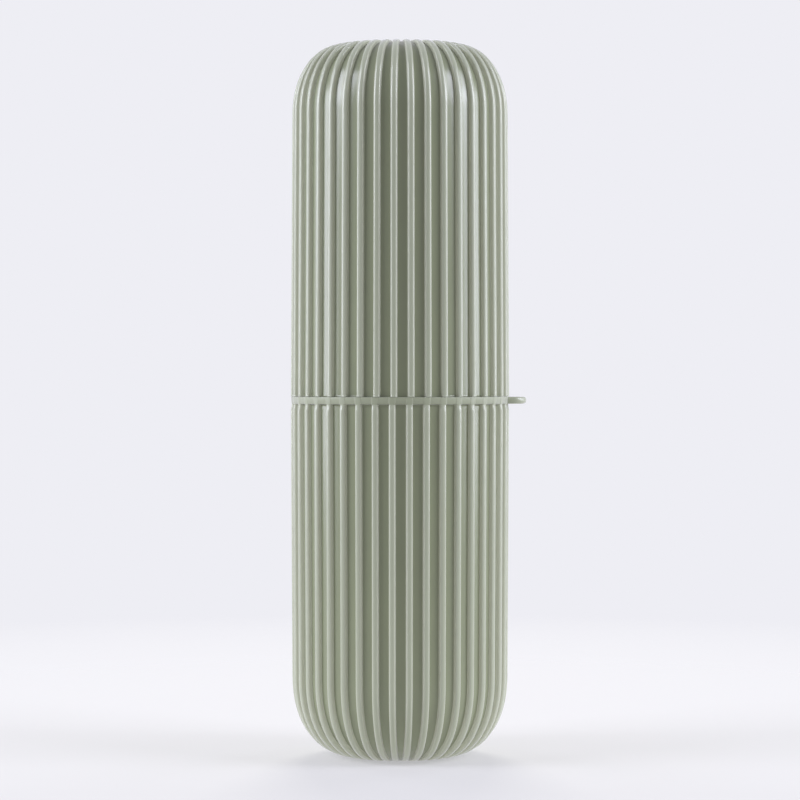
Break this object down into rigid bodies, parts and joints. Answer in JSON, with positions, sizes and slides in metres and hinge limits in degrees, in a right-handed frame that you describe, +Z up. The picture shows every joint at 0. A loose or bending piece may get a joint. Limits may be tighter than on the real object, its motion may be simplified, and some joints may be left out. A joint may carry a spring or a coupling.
{
  "type": "toothbrush travel cup",
  "caption": "Ribbed capsule-shaped travel cup for toothbrushes: a lower cup with a flange and hang tab, a neck sleeve, and a lift-off cover that doubles as a rinse cup.",
  "frame": {"origin": "centre of the flat foot, on the surface that the cup stands on", "axes": "+Z up along the axis of both halves, +X towards the hang tab, so -Y is the side that the picture shows"},
  "size_m": [0.0691, 0.064, 0.2074],
  "materials": {
    "sage_plastic": "satin moulded polypropylene",
    "pale_plastic": "smooth moulded polypropylene",
    "grey_rubber": "soft silicone"
  },
  "bodies": {
    "cup": {"lower_cup": "sage_plastic", "neck_sleeve": "pale_plastic"},
    "grip": {"grip_ring": "grey_rubber"},
    "cover": {"upper_cover": "sage_plastic"}
  },
  "joints": [
    {"name": "cover_turn", "type": "hinge", "parent": "cup", "child": "grip", "pos_m": [0, 0, 0.105], "axis": [0, 0, 1], "continuous": true},
    {"name": "cover_lift", "type": "slide", "parent": "grip", "child": "cover", "axis": [0, 0, 1], "range_m": [0, 0.12]}
  ]
}
